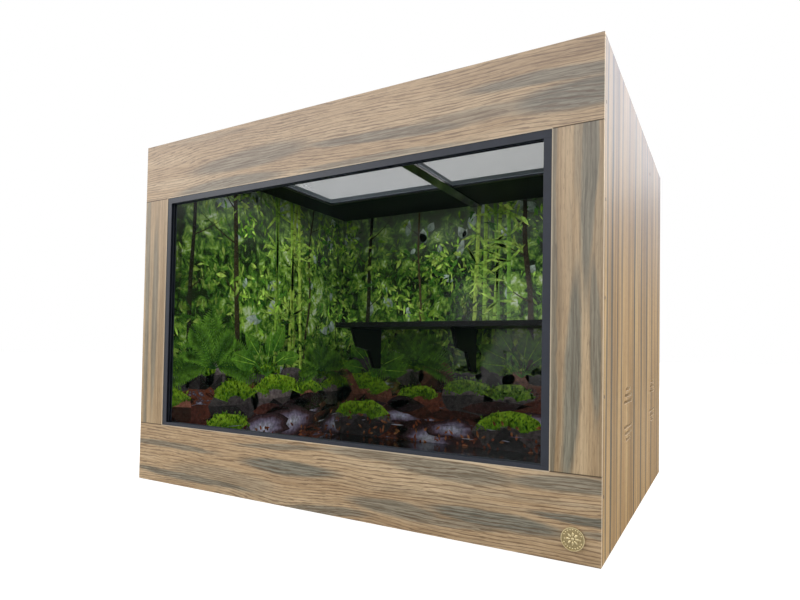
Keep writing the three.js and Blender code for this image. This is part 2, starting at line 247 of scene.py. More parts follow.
# Noise cells per metre of the oak print: along, across and into the grain.
GRAIN = {
    "sway": (2.6, 9, 9),
    "ragged": (22, 240, 40),
    "swell": (1.9, 7, 9),
    "drawn": (7, 60, 9),
    "fibre": (10, 460, 60),
    "pores": (55, 1100, 90),
    "band": (1.6, 22, 9),
    "faint": (1.3, 34, 9),
    "stripes": (0.5, 130, 9),
}
SWAY_REACH = 0.030
RAGGED_REACH = 0.007
SWELL_REACH = 0.075
YEAR_PITCH = 0.0068
STREAK_SPREAD = 0.85  # radius of a streak's ellipse per unit of its width

# Half-widths where a joint's dark line, and the painted highlight on the rounded edge beside the opening,
# fade out and are full.
JOINT_LINE = (0.0016, 0.0006)
EDGE_HIGHLIGHT = (0.0026, 0.0012)
OPENING_EDGE = (0.0012, 0.0002)
VENT_RIM_SQUARED = (0.0044, 0.0042)


def streak_mask(t, grain, streaks):
    """1 inside the soft, drawn-out ellipses of the streaks, from place along and across the grain."""
    total = 0.0
    for along0, across0, along1, across1, width, strength in streaks:
        run, rise = along1 - along0, across1 - across0
        mapping = t.add("Mapping", {0: grain}, vector_type="TEXTURE")
        mapping.inputs["Location"].default_value = ((along0 + along1) / 2, (across0 + across1) / 2, 0)
        mapping.inputs["Rotation"].default_value = (0, 0, math.atan2(rise, run))
        mapping.inputs["Scale"].default_value = (math.hypot(run, rise) / 2, width * STREAK_SPREAD, 1)
        spot = t.add("TexGradient", {0: mapping.outputs[0]}, gradient_type="SPHERICAL").outputs[1]
        shown = t.math("MULTIPLY", t.step(spot, 0.0, 0.45), strength)
        total = t.math("MAXIMUM", total, shown)
    return total


def joint_lines(t, colour, axes, joints, highlit_edges):
    """Dark lines at the joints, and painted highlights on the rounded edges that the opening leaves free.
    """
    opening = t.step(t.math("ABSOLUTE", axes[0]), *(OPENING_X + d for d in OPENING_EDGE))
    for axis, where in joints:
        gap = t.math("ABSOLUTE", t.math("SUBTRACT", axes[axis], where))
        depth = t.math("SUBTRACT", 0.8, t.math("MULTIPLY", opening, 0.8))
        dark = t.math("MULTIPLY", t.step(gap, *JOINT_LINE), depth)
        colour = t.mix(dark, colour, tone(56, 44, 34))
    # Painted highlight: a pale line along the rounded edges, as they catch light.
    for axis, where in highlit_edges:
        gap = t.math("ABSOLUTE", t.math("SUBTRACT", axes[axis], where))
        near = opening if axis == 2 else 1.0
        pale = t.math("MULTIPLY", t.step(gap, *EDGE_HIGHLIGHT), t.math("MULTIPLY", near, 0.5))
        colour = t.mix(pale, colour, tone(232, 216, 190))
    return colour


def raw_vents(t, colour, axes, sideways, rounds):
    """Bare chipboard on the cut faces of the vents' slots."""
    for y, z in rounds:
        reach = t.math("POWER", t.math("SUBTRACT", axes[1], y), 2.0)
        reach = t.math("ADD", reach, t.math("POWER", t.math("SUBTRACT", axes[2], z), 2.0))
        inside = t.math("MULTIPLY", t.step(reach, *VENT_RIM_SQUARED), t.step(sideways, 0.96, 0.86))
        chips = t.noise(t.place(), 900)
        chips = t.ramp(chips, ((0.35, tone(206, 178, 138)), (0.65, tone(246, 232, 206))))
        colour = t.mix(inside, colour, chips)
    return colour


def oak(
    name, along, across, streaks, tones, ridges, painted_glare, joints=(), highlit_edges=(), raw_rounds=(), sheen=0.22,
):
    """Embossed oak print. along and across are 0, 1 or 2 for X, Y or Z; ridges is how strongly the year
    lines show; painted_glare is one of the painted glares above; joints and highlit_edges are (axis, place)
    of dark joint lines and painted highlights on rounded edges; raw_rounds are (y, z) of vents."""
    t = Tree(name)
    axes = t.parts(t.place())
    u, v = axes[along], axes[across]
    depth = axes[3 - along - across]

    def grain(kind, sideways_place, detail, roughness=0.5):
        place = t.scaled(t.vector(u, sideways_place, depth), GRAIN[kind])
        return t.noise(place, 1.0, detail, roughness)

    sway = t.math("SUBTRACT", grain("sway", v, 2.0), 0.5)
    ragged = t.math("SUBTRACT", grain("ragged", v, 2.0), 0.5)
    warped = t.math("ADD", v, t.math("MULTIPLY", sway, SWAY_REACH))
    torn = t.math("ADD", warped, t.math("MULTIPLY", ragged, RAGGED_REACH))

    contour = t.math("ADD", torn, t.math("MULTIPLY", grain("swell", v, 1.0), SWELL_REACH))
    rings = t.math("SINE", t.math("MULTIPLY", contour, 2 * math.pi / YEAR_PITCH))
    lines = t.math("MULTIPLY", t.step(rings, 0.35, 0.85), t.step(grain("drawn", v, 2.0), 0.34, 0.5))
    fibre = grain("fibre", torn, 3.0, 0.6)
    pores = t.step(grain("pores", warped, 1.0), 0.60, 0.70)

    wood = t.ramp(grain("band", warped, 2.0), ((0.28, tones[0]), (0.5, tones[1]), (0.72, tones[2])))
    grey = t.ramp(fibre, ((0.3, tones[3]), (0.7, tones[4])))
    mask = streak_mask(t, t.vector(u, torn), streaks)
    faint = t.step(grain("faint", torn, 2.0), 0.57, 0.72)
    mask = t.math("MAXIMUM", mask, t.math("MULTIPLY", faint, 0.32))
    colour = t.mix(mask, wood, grey)
    shade = t.step(t.mix(1.0 - ridges, fibre, grain("stripes", v, 3.0, 0.6)), 0.38, 0.60)
    shaded = t.mix(0.26, colour, tone(104, 84, 62))
    colour = t.mix(shade, shaded, t.mix(0.12, colour, tone(240, 222, 194)))
    colour = t.mix(t.math("MULTIPLY", lines, 0.6 * ridges), colour, tone(98, 76, 56))
    colour = t.mix(t.math("MULTIPLY", pores, 0.4), colour, tone(84, 66, 48))
    # Painted glare: the wood mixed towards a pale colour higher up, as light falls from above.
    glare_share = t.math("MULTIPLY", t.step(axes[2], *painted_glare[:2]), painted_glare[2])
    colour = t.mix(glare_share, colour, painted_glare[3])

    sideways = t.math("ABSOLUTE", t.parts(t.add("NewGeometry").outputs["Normal"])[0])
    colour = joint_lines(t, colour, axes, joints, highlit_edges)
    if raw_rounds:
        colour = raw_vents(t, colour, axes, sideways, raw_rounds)
    else:
        # Painted highlight: faces turned sideways, the boards' edges, mixed towards a pale cream.
        edge_face_highlight = t.math("MULTIPLY", t.step(sideways, 0.55, 0.8), 0.55)
        colour = t.mix(edge_face_highlight, colour, tone(232, 208, 172))
    t.set(Base_Color=colour)
    relief = t.math("SUBTRACT", t.math("MULTIPLY", fibre, 0.8), t.math("MULTIPLY", lines, 0.4 * ridges))
    relief = t.math("SUBTRACT", relief, t.math("MULTIPLY", pores, 0.5))
    t.set(Roughness=t.add("MapRange", {0: fibre, 3: 0.40, 4: 0.58}).outputs[0])
    t.set(Normal=t.bump(relief, 0.45, 0.0007))
    t.set(Specular_IOR_Level=sheen)
    return t.material


def black_board(name, gloss, sheen):
    """Black laminate with a faint orange-peel and a little dust; gloss is its least and most roughness."""
    t = Tree(name)
    dust = t.noise(t.place(), 60, 5.0, 0.7)
    peel = t.noise(t.place(), 240, 2.0)
    t.set(Base_Color=t.mix(t.step(dust, 0.45, 0.8), tone(5, 6, 8), tone(18, 19, 21)))
    t.set(Roughness=t.add("MapRange", {0: dust, 3: gloss[0], 4: gloss[1]}).outputs[0])
    t.set(Normal=t.bump(peel, 0.05, 0.0004))
    t.set(Specular_IOR_Level=sheen)
    return t.material


def matt_black():
    """Black edge-banded board of the shelf and its brackets."""
    t = Tree("matt_black")
    grain = t.noise(t.place(), 180, 4.0, 0.6)
    t.set(Base_Color=t.mix(grain, tone(6, 7, 9), tone(16, 18, 20)))
    t.set(Roughness=t.add("MapRange", {0: grain, 3: 0.32, 4: 0.48}).outputs[0])
    t.set(Normal=t.bump(grain, 0.10, 0.0003))
    t.set(Specular_IOR_Level=0.2)
    return t.material


def track_plastic():
    """Slate-coloured extruded plastic with fine die lines."""
    t = Tree("track_plastic")
    lines = t.noise(t.scaled(t.place(), (12, 900, 12)), 1.0, 2.0)
    scuff = t.noise(t.place(), 45, 4.0, 0.65)
    t.set(Base_Color=t.mix(scuff, tone(26, 30, 40), tone(42, 48, 62)))
    t.set(Roughness=t.add("MapRange", {0: lines, 3: 0.30, 4: 0.46}).outputs[0])
    t.set(Normal=t.bump(lines, 0.08, 0.0002))
    return t.material


def metal(name, dark, light, roughness, scale, stretch=(1, 1, 1), sunk=None):
    """Worn metal; sunk is the Y of a floor that has kept its tarnish."""
    t = Tree(name)
    wear = t.noise(t.scaled(t.place(), stretch), scale, 4.0, 0.6)
    colour = t.mix(wear, dark, light)
    if sunk is not None:
        tarnish = t.step(t.parts(t.place())[1], sunk - 0.0006, sunk - 0.0001)
        colour = t.mix(t.math("MULTIPLY", tarnish, 0.6), colour, tone(120, 98, 52))
    t.set(Base_Color=colour)
    t.set(Metallic=1.0)
    t.set(Roughness=t.add("MapRange", {0: wear, 3: roughness - 0.08, 4: roughness + 0.10}).outputs[0])
    t.set(Normal=t.bump(wear, 0.12, 0.0002))
    return t.material


def rubber():
    """Dull rubber with a pale bloom."""
    t = Tree("plug_rubber")
    bloom = t.noise(t.place(), 700, 4.0, 0.6)
    t.set(Base_Color=t.mix(bloom, tone(34, 29, 25), tone(62, 54, 47)))
    t.set(Roughness=t.add("MapRange", {0: bloom, 3: 0.62, 4: 0.82}).outputs[0])
    return t.material


def clear_glass():
    """Clear float glass, a shade green in its edges."""
    t = Tree("pane_glass")
    smear = t.noise(t.place(), 7, 4.0, 0.7)
    t.set(Base_Color=t.mix(smear, tone(60, 84, 76), tone(74, 98, 90)))
    t.set(Roughness=t.add("MapRange", {0: smear, 3: 0.015, 4: 0.04}).outputs[0])
    rim = t.add("LayerWeight", {"Blend": 0.12}).outputs["Fresnel"]
    t.set(Alpha=t.math("ADD", 0.012, t.math("MULTIPLY", rim, 0.22)))
    return t.material


def print_ground():
    """Background of the printed walls: hazy foliage over a dim, wet forest floor."""
    t = Tree("print_ground")
    place = t.place()
    z = t.parts(place)[2]
    dapple = t.noise(place, 26, 7.0, 0.68, 0.5)
    cloud = t.noise(place, 5.5, 3.0, 0.5)
    light = t.math("ADD", t.math("MULTIPLY", dapple, 0.72), t.math("MULTIPLY", cloud, 0.30))
    leaves = t.ramp(light, (
        (0.38, tone(5, 12, 6)), (0.46, tone(22, 46, 14)), (0.52, tone(70, 116, 34)),
        (0.58, tone(146, 186, 70)), (0.66, tone(224, 234, 206)),
    ))
    stems = t.noise(t.scaled(place, (46, 46, 1.1)), 1.0, 3.0, 0.55)
    leaves = t.mix(t.math("MULTIPLY", t.step(stems, 0.60, 0.68), 0.75), leaves, tone(30, 36, 20))
    soil = t.noise(t.scaled(place, (9, 9, 26)), 1.0, 7.0, 0.7, 0.4)
    earth = t.ramp(soil, (
        (0.38, tone(8, 7, 8)), (0.45, tone(48, 30, 26)), (0.51, tone(134, 72, 50)),
        (0.56, tone(70, 58, 62)), (0.62, tone(166, 160, 186)), (0.69, tone(230, 230, 244)),
    ))
    line = t.math("ADD", z, t.math("MULTIPLY", t.math("SUBTRACT", cloud, 0.5), 0.22))
    colour = t.mix(t.step(line, 0.21, 0.30), earth, leaves)
    haze = t.math("MULTIPLY", t.step(z, 0.62, 0.92), 0.22)
    t.set(Base_Color=t.mix(haze, colour, tone(206, 222, 190)))
    t.set(Roughness=t.add("MapRange", {0: dapple, 3: 0.14, 4: 0.24}).outputs[0])
    return t.material


def print_ink():
    """Inks of the drawn shapes: each face's own colour, mottled."""
    t = Tree("print_ink")
    ink = t.add("VertexColor", layer_name="ink").outputs[0]
    mottle = t.noise(t.place(), 80, 5.0, 0.62)
    shade = t.ramp(mottle, ((0.36, (0.56, 0.56, 0.56, 1)), (0.66, (1.40, 1.40, 1.40, 1))))
    t.set(Base_Color=t.mix(1.0, ink, shade, "MULTIPLY"))
    t.set(Roughness=t.add("MapRange", {0: mottle, 3: 0.14, 4: 0.24}).outputs[0])
    return t.material


def dress(name, material):
    """Gives a CAD node its only material."""
    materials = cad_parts[name].data.materials
    materials.clear()
    materials.append(material)


def soften(name, width, least=40):
    """Rounds the edges of a CAD node that turn by more than least degrees."""
    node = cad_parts[name]
    weld = node.modifiers.new("weld", "WELD")
    weld.merge_threshold = 1e-6
    bevel = node.modifiers.new("bevel", "BEVEL")
    bevel.width = width
    bevel.segments = 2
    bevel.limit_method = "ANGLE"
    bevel.angle_limit = math.radians(least)
    bevel.use_clamp_overlap = True


def made_piece(name, mesh, material):
    """A piece of the scene's own, fixed to the cabinet."""
    piece = bpy.data.objects.new(name, mesh)
    bpy.context.scene.collection.objects.link(piece)
    mesh.materials.append(material)
    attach(piece, CABINET)
    return piece


# ---- Drawn shapes of the printed walls, on one strip that runs round the three walls ----

LEFT_LOW, LEFT_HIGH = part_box("backdrop_left")
RIGHT_LOW, RIGHT_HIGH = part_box("backdrop_right")
BACK_LOW, BACK_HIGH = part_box("backdrop_back")
WALL_LEFT, WALL_RIGHT, WALL_BACK = LEFT_HIGH.x, RIGHT_LOW.x, BACK_LOW.y
STRIP_CORNERS = (
    0.0,
    WALL_BACK - LEFT_LOW.y,
    WALL_BACK - LEFT_LOW.y + WALL_RIGHT - WALL_LEFT,
    2 * (WALL_BACK - LEFT_LOW.y) + WALL_RIGHT - WALL_LEFT,
)
PRINT_MARGIN = 0.0005
STRIP_LOW, STRIP_HIGH = LEFT_LOW.z + PRINT_MARGIN, LEFT_HIGH.z - PRINT_MARGIN
INK_GAP = 0.0001  # between a board and the lowest layer
INK_LIFT = 0.00002  # from one layer to the next
INK_LIGHT = 1.3

# Vents and probe port of the right wall as (y, z), and how far round them nothing is drawn.
VENTS = ((-0.168, 0.231), (0.262, 0.231))
VENT_REACH = 0.066
PORT = (0.189, 0.837)
PORT_REACH = 0.007

WALLS = (
    ("left", lambda s, z, lift: (WALL_LEFT + lift, LEFT_LOW.y + s, z)),
    ("back", lambda s, z, lift: (WALL_LEFT + s - STRIP_CORNERS[1], WALL_BACK - lift, z)),
    ("right", lambda s, z, lift: (WALL_RIGHT - lift, WALL_BACK - (s - STRIP_CORNERS[2]), z)),
)


def trimmed(points, axis, limit, side):
    """The part of an outline on one side of a line, colours kept in step."""
    kept = []
    for a, b in zip(points, points[1:] + points[:1]):
        a_in, b_in = side * (a[axis] - limit) >= 0, side * (b[axis] - limit) >= 0
        if a_in:
            kept.append(a)
        if a_in != b_in:
            share = (limit - a[axis]) / (b[axis] - a[axis])
            kept.append(tuple(p + (q - p) * share for p, q in zip(a, b)))
    return kept


class Drawing:
    """Flat coloured outlines as (place along the strip, height, red, green, blue) points."""

    def __init__(self, seed):
        self.shapes = []
        self.pick = random.Random(seed)

    def ink(self, colour, spread=0.18):
        factor = INK_LIGHT * (1 + self.pick.uniform(-spread, spread))
        return tuple(min(1.0, c * factor) for c in colour[:3])

    def shape(self, outline, colours, layer):
        self.shapes.append(([(s, z) + c for (s, z), c in zip(outline, colours)], layer))

    def leaf(self, s, z, angle, length, width, base, tip, layer, steps=4):
        """Pointed oval from its stalk."""
        side = []
        for i in range(1, steps):
            share = i / steps
            side.append((share * length, width / 2 * math.sin(math.pi * share ** 0.8)))
        rim = [(0, 0)] + side + [(length, 0)] + [(a, -b) for a, b in reversed(side)]
        c, d = math.cos(angle), math.sin(angle)
        outline = [(s + a * c - b * d, z + a * d + b * c) for a, b in rim]
        colours = [tuple(p + (q - p) * a / length for p, q in zip(base, tip)) for a, _ in rim]
        self.shape(outline, colours, layer)

    def stroke(self, path, widths, colour, layer):
        """Band of changing width along a path."""
        left, right = [], []
        for i, (s, z) in enumerate(path):
            before, after = path[max(i - 1, 0)], path[min(i + 1, len(path) - 1)]
            run = Vector((after[0] - before[0], after[1] - before[1])).normalized()
            half = widths[i] / 2
            left.append((s - run.y * half, z + run.x * half))
            right.append((s + run.y * half, z - run.x * half))
        for i in range(len(path) - 1):
            outline = [left[i], left[i + 1], right[i + 1], right[i]]
            light = tuple(min(1, c * 1.5) for c in colour)
            self.shape(outline, [light, light, colour, colour], layer)


GREENS = [tone(*c) for c in (
    (28, 62, 20), (46, 92, 28), (70, 120, 36), (98, 146, 44), (136, 176, 60), (178, 206, 92),
)]
BARK = [tone(*c) for c in ((26, 22, 16), (46, 38, 26), (64, 54, 36))]
STONES = [tone(*c) for c in ((20, 19, 20), (44, 40, 42), (84, 76, 78), (120, 108, 108))]
RED_STONES = [tone(*c) for c in ((40, 22, 18), (74, 40, 32), (128, 72, 56), (160, 104, 84))]
MOSSES = [tone(*c) for c in ((52, 92, 16), (88, 136, 24), (136, 176, 40))]
LITTERS = [tone(*c) for c in ((110, 54, 34), (150, 80, 50), (76, 38, 28), (178, 118, 74))]
SHEENS = [tone(*c) for c in ((206, 208, 234), (140, 130, 158), (84, 60, 66))]
WATERS = [tone(*c) for c in ((62, 34, 30), (98, 52, 40), (44, 30, 34))]
GLADES = [tone(*c) for c in ((110, 132, 112), (176, 190, 180))]
CANES = [tone(*c) for c in ((116, 150, 52), (146, 172, 70), (92, 132, 46))]
CANE_RING = tone(60, 78, 32)

# Layers of the drawing, from the boards outwards. A pair is used by turns.
LAYER = {
    "glade": 0,
    "far_leaf": range(1, 8),
    "trunk": 9,
    "cane": 11,
    "near_leaf": range(14, 20),
    "water": (24, 33),
    "pool": (25, 34),
    "litter": (42, 43),
    "glint": (44, 45),
    "fern": 46,
    "broad_plant": 51,
}

# What is placed one by one along the strip.
TRUNKS = (  # place, width, lean
    (0.10, 0.014, 0.02), (0.30, 0.020, -0.03), (0.63, 0.010, 0.03),
    (0.98, 0.017, 0.02), (1.23, 0.009, -0.02), (1.66, 0.019, -0.04),
    (1.93, 0.012, 0.02), (2.20, 0.018, 0.03), (2.62, 0.012, -0.02),
)
CANE_GROUPS = (0.47, 1.44, 2.40)
CANE_SPACING = 0.034
BOULDER_ROWS = (  # layer, lowest and highest middle, least and most width, gap, choice of moss
    (20, 0.24, 0.28, 0.09, 0.15, 0.095, (0, 0.6, 0.9, 1.0, 1.0)),
    (29, 0.16, 0.20, 0.18, 0.30, 0.21, (0.6, 0.9, 1.0, 1.0)),
    (38, 0.05, 0.085, 0.20, 0.28, 0.52, (0.9, 1.0, 1.0)),
)
FERNS = (  # place, height of foot, size, fronds
    (0.20, 0.29, 0.22, 11), (0.73, 0.27, 0.19, 9), (1.20, 0.30, 0.21, 11),
    (1.86, 0.29, 0.20, 10), (2.18, 0.30, 0.18, 9), (2.78, 0.29, 0.22, 11),
)
BROAD_PLANTS = (  # place, height of foot, size
    (0.43, 0.26, 0.17), (1.02, 0.25, 0.16), (1.62, 0.27, 0.18), (2.55, 0.28, 0.16),
)
BROAD_LEAVES = 7


def dapple(s, z):
    """Broad light and shade of the wood, from 0.35 to 1.5."""
    across = math.sin(7.3 * s + 2.2 * math.sin(9.1 * z + 1.3 * s))
    upwards = math.sin(12.4 * z + 1.9 * math.sin(5.7 * s))
    return 0.925 + 0.575 * (across * upwards)


def foliage(art, count, low, high, size, greens, layers):
    """Loose leaves in drifts."""
    pick = art.pick
    drifts = [(pick.uniform(0, STRIP_CORNERS[3]), pick.uniform(low, high)) for _ in range(count // 22)]
    for i in range(count):
        s, z = pick.choice(drifts)
        s, z = pick.gauss(s, 0.055), pick.gauss(z, 0.045)
        if not low < z < STRIP_HIGH:
            continue
        length = pick.uniform(*size)
        light = dapple(s, z)
        base, tip = (tuple(c * light for c in art.ink(pick.choice(greens))) for _ in range(2))
        angle = pick.gauss(-math.pi / 2, 1.0)
        width = length * pick.uniform(0.22, 0.42)
        art.leaf(s, z, angle, length, width, base, tip, layers[i % len(layers)], 3)


def trunk(art, s, width, lean, layer, foot=0.26):
    """Slim leaning trunk with three bare limbs."""
    pick = art.pick
    steps = 12
    rise = (STRIP_HIGH + 0.02 - foot) / steps
    bend = pick.uniform(-0.012, 0.012)
    path = [
        (s + lean * i / steps + bend * math.sin(i * 0.9), foot + i * rise)
        for i in range(steps + 1)
    ]
    widths = [width * (1.25 - 0.5 * i / steps + pick.uniform(-0.08, 0.08)) for i in range(steps + 1)]
    art.stroke(path, widths, art.ink(pick.choice(BARK)), layer)
    for i in (5, 8, 10):
        side = pick.choice((-1, 1))
        start = path[i]
        reach = pick.uniform(0.06, 0.14)
        limb = [
            (start[0] + side * reach * k / 3, start[1] + 0.05 * k / 3 + 0.02 * (k / 3) ** 2)
            for k in range(4)
        ]
        thins = [width * share for share in (0.32, 0.24, 0.16, 0.06)]
        art.stroke(limb, thins, art.ink(BARK[1]), layer)


def cane(art, s, width, lean, layer):
    """Bamboo cane with its joints."""
    pick = art.pick
    z, foot = pick.uniform(0.20, 0.26), 0.2
    colour = art.ink(pick.choice(CANES))
    while z < STRIP_HIGH:
        top = z + pick.uniform(0.075, 0.115)
        at = [(s + lean * (h - foot), h) for h in (z, (z + top) / 2, top)]
        art.stroke(at, [width, width * 0.92, width], colour, layer)
        ring = [(s + lean * (h - foot), h) for h in (top - 0.002, top + 0.0015)]
        art.stroke(ring, [width * 1.16, width * 1.16], art.ink(CANE_RING), layer + 1)
        if pick.random() < 0.5:
            for _ in range(4):
                angle = pick.uniform(-1.1, 0.9) + (math.pi if pick.random() < 0.5 else 0)
                length = pick.uniform(0.05, 0.09)
                inks = art.ink(GREENS[3]), art.ink(GREENS[5])
                art.leaf(*at[2], angle, length, 0.011, *inks, layer + 1, 3)
        z = top


def fern(art, s, z, size, fronds, layer):
    """Arching fronds with rows of slim leaflets."""
    pick = art.pick
    for f in range(fronds):
        lean = math.radians(-82 + 164 * (f + 0.5) / fronds + pick.uniform(-6, 6))
        length = size * pick.uniform(0.8, 1.1)
        droop = 0.55 * abs(math.sin(lean)) + 0.12
        steps = 20
        path = [
            (
                s + length * math.sin(lean) * k / steps,
                z + length * (math.cos(lean) * k / steps - droop * (k / steps) ** 2),
            )
            for k in range(steps + 1)
        ]
        dark, light = art.ink(GREENS[0], 0.4), art.ink(GREENS[3], 0.4)
        level = layer + f % 4
        widths = [0.0032 * (1 - 0.8 * k / steps) for k in range(steps + 1)]
        art.stroke(path, widths, art.ink(GREENS[0]), level)
        for k in range(2, steps + 1):
            run = math.atan2(path[k][1] - path[k - 1][1], path[k][0] - path[k - 1][0])
            reach = 0.24 * length * math.sin(math.pi * min(1.0, 0.12 + 0.86 * k / steps))
            for side in (-1, 1):
                art.leaf(*path[k], run + side * 1.05, reach, reach * 0.20, dark, light, level, 3)


def broad_plant(art, s, z, size, count, layer):
    """Rosette of long-stalked broad leaves with pale midribs."""
    pick = art.pick
    for i in range(count):
        lean = math.radians(-70 + 140 * (i + 0.5) / count + pick.uniform(-9, 9))
        stalk = size * pick.uniform(0.35, 0.6)
        tip = (s + stalk * math.sin(lean), z + stalk * math.cos(lean))
        art.stroke([(s, z), tip], [0.004, 0.003], art.ink(GREENS[2]), layer + i % 3)
        angle = math.pi / 2 - lean * 1.5
        length = size * pick.uniform(0.5, 0.7)
        inks = art.ink(GREENS[1]), art.ink(GREENS[3])
        art.leaf(*tip, angle, length, length * 0.55, *inks, layer + 3 + i % 3, 7)
        rib = [
            (tip[0] + length * q * math.cos(angle), tip[1] + length * q * math.sin(angle))
            for q in (0, 0.45, 0.9)
        ]
        art.stroke(rib, [0.003, 0.002, 0.0008], art.ink(GREENS[4]), layer + 6)


def pool(art, s, z, width, height, layer):
    """Patch of still water: dark at its rim, then lavender, almost white in the middle."""
    pick = art.pick
    steps = 18
    lobes = [1 + pick.uniform(-0.2, 0.2) for _ in range(steps)]
    inks = [art.ink(colour, 0.1) for colour in (WATERS[2], SHEENS[2], SHEENS[1], SHEENS[0])]
    rings = []
    for size in (1.0, 0.76, 0.48, 0.0):
        rings.append([
            (s + width / 2 * size * lobes[i] * math.cos(2 * math.pi * i / steps),
             z + height / 2 * size * lobes[i] * math.sin(2 * math.pi * i / steps))
            for i in range(steps)
        ])
    for ring in range(3):
        outer, inner = rings[ring:ring + 2]
        for i in range(steps):
            j = (i + 1) % steps
            outline = [outer[i], outer[j], inner[j], inner[i]]
            colours = [inks[ring]] * 2 + [inks[ring + 1]] * 2
            corners = 4 if ring < 2 else 3
            art.shape(outline[:corners], colours[:corners], layer)


def boulder(art, s, z, width, height, layer, moss_share):
    """Rounded stone of several facets, paler above, with a cap of moss."""
    pick = art.pick
    stones = RED_STONES if pick.random() < 0.22 else STONES
    steps = 16
    rim = []
    for i in range(steps):
        angle = 2 * math.pi * i / steps
        reach = 1 + pick.uniform(-0.10, 0.10)
        rim.append((s + width / 2 * math.cos(angle) * reach, z + height / 2 * math.sin(angle) * reach))
    dark, pale = art.ink(pick.choice(stones[:2])), art.ink(pick.choice(stones[2:]))
    share = [min(1, max(0, (q[1] - z) / height + 0.5)) for q in rim]
    art.shape(rim, [tuple(a + (b - a) * k for a, b in zip(dark, pale)) for k in share], layer)
    hub = (s + width * pick.uniform(-0.12, 0.12), z + height * pick.uniform(-0.05, 0.15))
    for i in range(0, steps, 2):
        facet = [hub, rim[i], rim[i + 1], rim[(i + 2) % steps]]
        light = 0.5 + 0.5 * math.sin(2 * math.pi * (i + 1) / steps) + pick.uniform(-0.25, 0.25)
        inks = [tuple(a + (b - a) * max(0, min(1, light)) for a, b in zip(dark, pale))] * 4
        art.shape(facet, inks, layer + 1)
    if moss_share <= 0:
        return
    last = min(steps // 2 - 1, 1 + int(moss_share * steps / 2))
    cap = rim[1:last + 1]
    inner = [
        (a * 0.4 + hub[0] * 0.6 + pick.uniform(-0.02, 0.02) * width, b * 0.4 + (z - height * 0.04) * 0.6)
        for a, b in reversed(cap)
    ]
    art.shape(cap + inner, [art.ink(MOSSES[2])] * len(cap) + [art.ink(MOSSES[1])] * len(inner), layer + 2)
    for _ in range(int(120 * moss_share) + 14):
        angle = pick.uniform(0.2, 0.2 + moss_share * 2.9)
        reach = pick.uniform(0.22, 1.0) ** 0.8
        tuft = (s + width / 2 * math.cos(angle) * reach, z + height / 2 * math.sin(angle) * reach)
        inks = (art.ink(MOSSES[0]), art.ink(pick.choice(MOSSES[1:])))
        art.leaf(*tuft, pick.uniform(0.6, 2.5), pick.uniform(0.009, 0.016), 0.006, *inks, layer + 3, 3)


def far_wood(art, end):
    """Glades, leaves, trunks and canes behind the stones."""
    pick = art.pick
    for _ in range(130):
        s, z = pick.uniform(0, end), pick.uniform(0.42, 0.88)
        if dapple(s, z) > 0.95:
            angle = pick.gauss(math.pi / 2, 0.8)
            length, width = pick.uniform(0.03, 0.08), pick.uniform(0.015, 0.04)
            inks = [art.ink(colour) for colour in GLADES]
            art.leaf(s, z, angle, length, width, *inks, LAYER["glade"], 6)
    foliage(art, 2300, 0.27, 0.88, (0.012, 0.034), GREENS[1:], LAYER["far_leaf"])
    for s, width, lean in TRUNKS:
        trunk(art, s, width, lean, LAYER["trunk"])
    for group in CANE_GROUPS:
        for i in range(5):
            s = group + CANE_SPACING * i + pick.uniform(-0.008, 0.008)
            width, lean = pick.uniform(0.010, 0.017), pick.uniform(-0.06, 0.06)
            cane(art, s, width, lean, LAYER["cane"])
    foliage(art, 1300, 0.30, 0.88, (0.016, 0.046), GREENS[:3] + GREENS[4:], LAYER["near_leaf"])


def wet_floor(art, end):
    """Boulders in three rows, and the wet, littered floor between them."""
    pick = art.pick
    for layer, low, high, least, most, gap, mosses in BOULDER_ROWS:
        s = pick.uniform(0, gap)
        while s < end:
            width = pick.uniform(least, most)
            moss = pick.choice(mosses)
            z = pick.uniform(low, high)
            height = width * pick.uniform(0.55, 0.78)
            boulder(art, s, z, width, height, layer, moss)
            s += gap * pick.uniform(0.7, 1.4)
    for i in range(90):
        s, z = pick.uniform(0, end), STRIP_LOW + 0.14 * pick.random()
        angle = pick.gauss(0, 0.12)
        length, width = pick.uniform(0.12, 0.30), pick.uniform(0.03, 0.07)
        inks = [art.ink(pick.choice(WATERS)) for _ in range(2)]
        art.leaf(s, z, angle, length, width, *inks, LAYER["water"][i % 2], 6)
    for i in range(44):
        width = pick.uniform(0.10, 0.26)
        s, z = pick.uniform(0, end), pick.uniform(0.03, 0.13)
        height = width * pick.uniform(0.26, 0.46)
        pool(art, s, z, width, height, LAYER["pool"][i % 2] + i // 2 % 4)
    for i in range(300):
        s, z = pick.uniform(0, end), STRIP_LOW + 0.09 * pick.random() ** 1.6
        angle, length = pick.uniform(0, 6.28), pick.uniform(0.012, 0.028)
        inks = [art.ink(pick.choice(LITTERS)) for _ in range(2)]
        art.leaf(s, z, angle, length, 0.009, *inks, LAYER["litter"][i % 2], 3)
    for i in range(70):
        s, z = pick.uniform(0, end), pick.uniform(0.025, 0.11)
        angle = pick.gauss(0, 0.07)
        length, width = pick.uniform(0.02, 0.07), pick.uniform(0.002, 0.005)
        inks = [art.ink(pick.choice(SHEENS)) for _ in range(2)]
        art.leaf(s, z, angle, length, width, *inks, LAYER["glint"][i % 2], 4)


def draw_walls():
    """The whole strip, from the distance to the plants in front."""
    art = Drawing(41)
    end = STRIP_CORNERS[3]
    far_wood(art, end)
    wet_floor(art, end)
    for s, z, size, fronds in FERNS:
        fern(art, s, z, size, fronds, LAYER["fern"])
    for s, z, size in BROAD_PLANTS:
        broad_plant(art, s, z, size, BROAD_LEAVES, LAYER["broad_plant"])
    return art


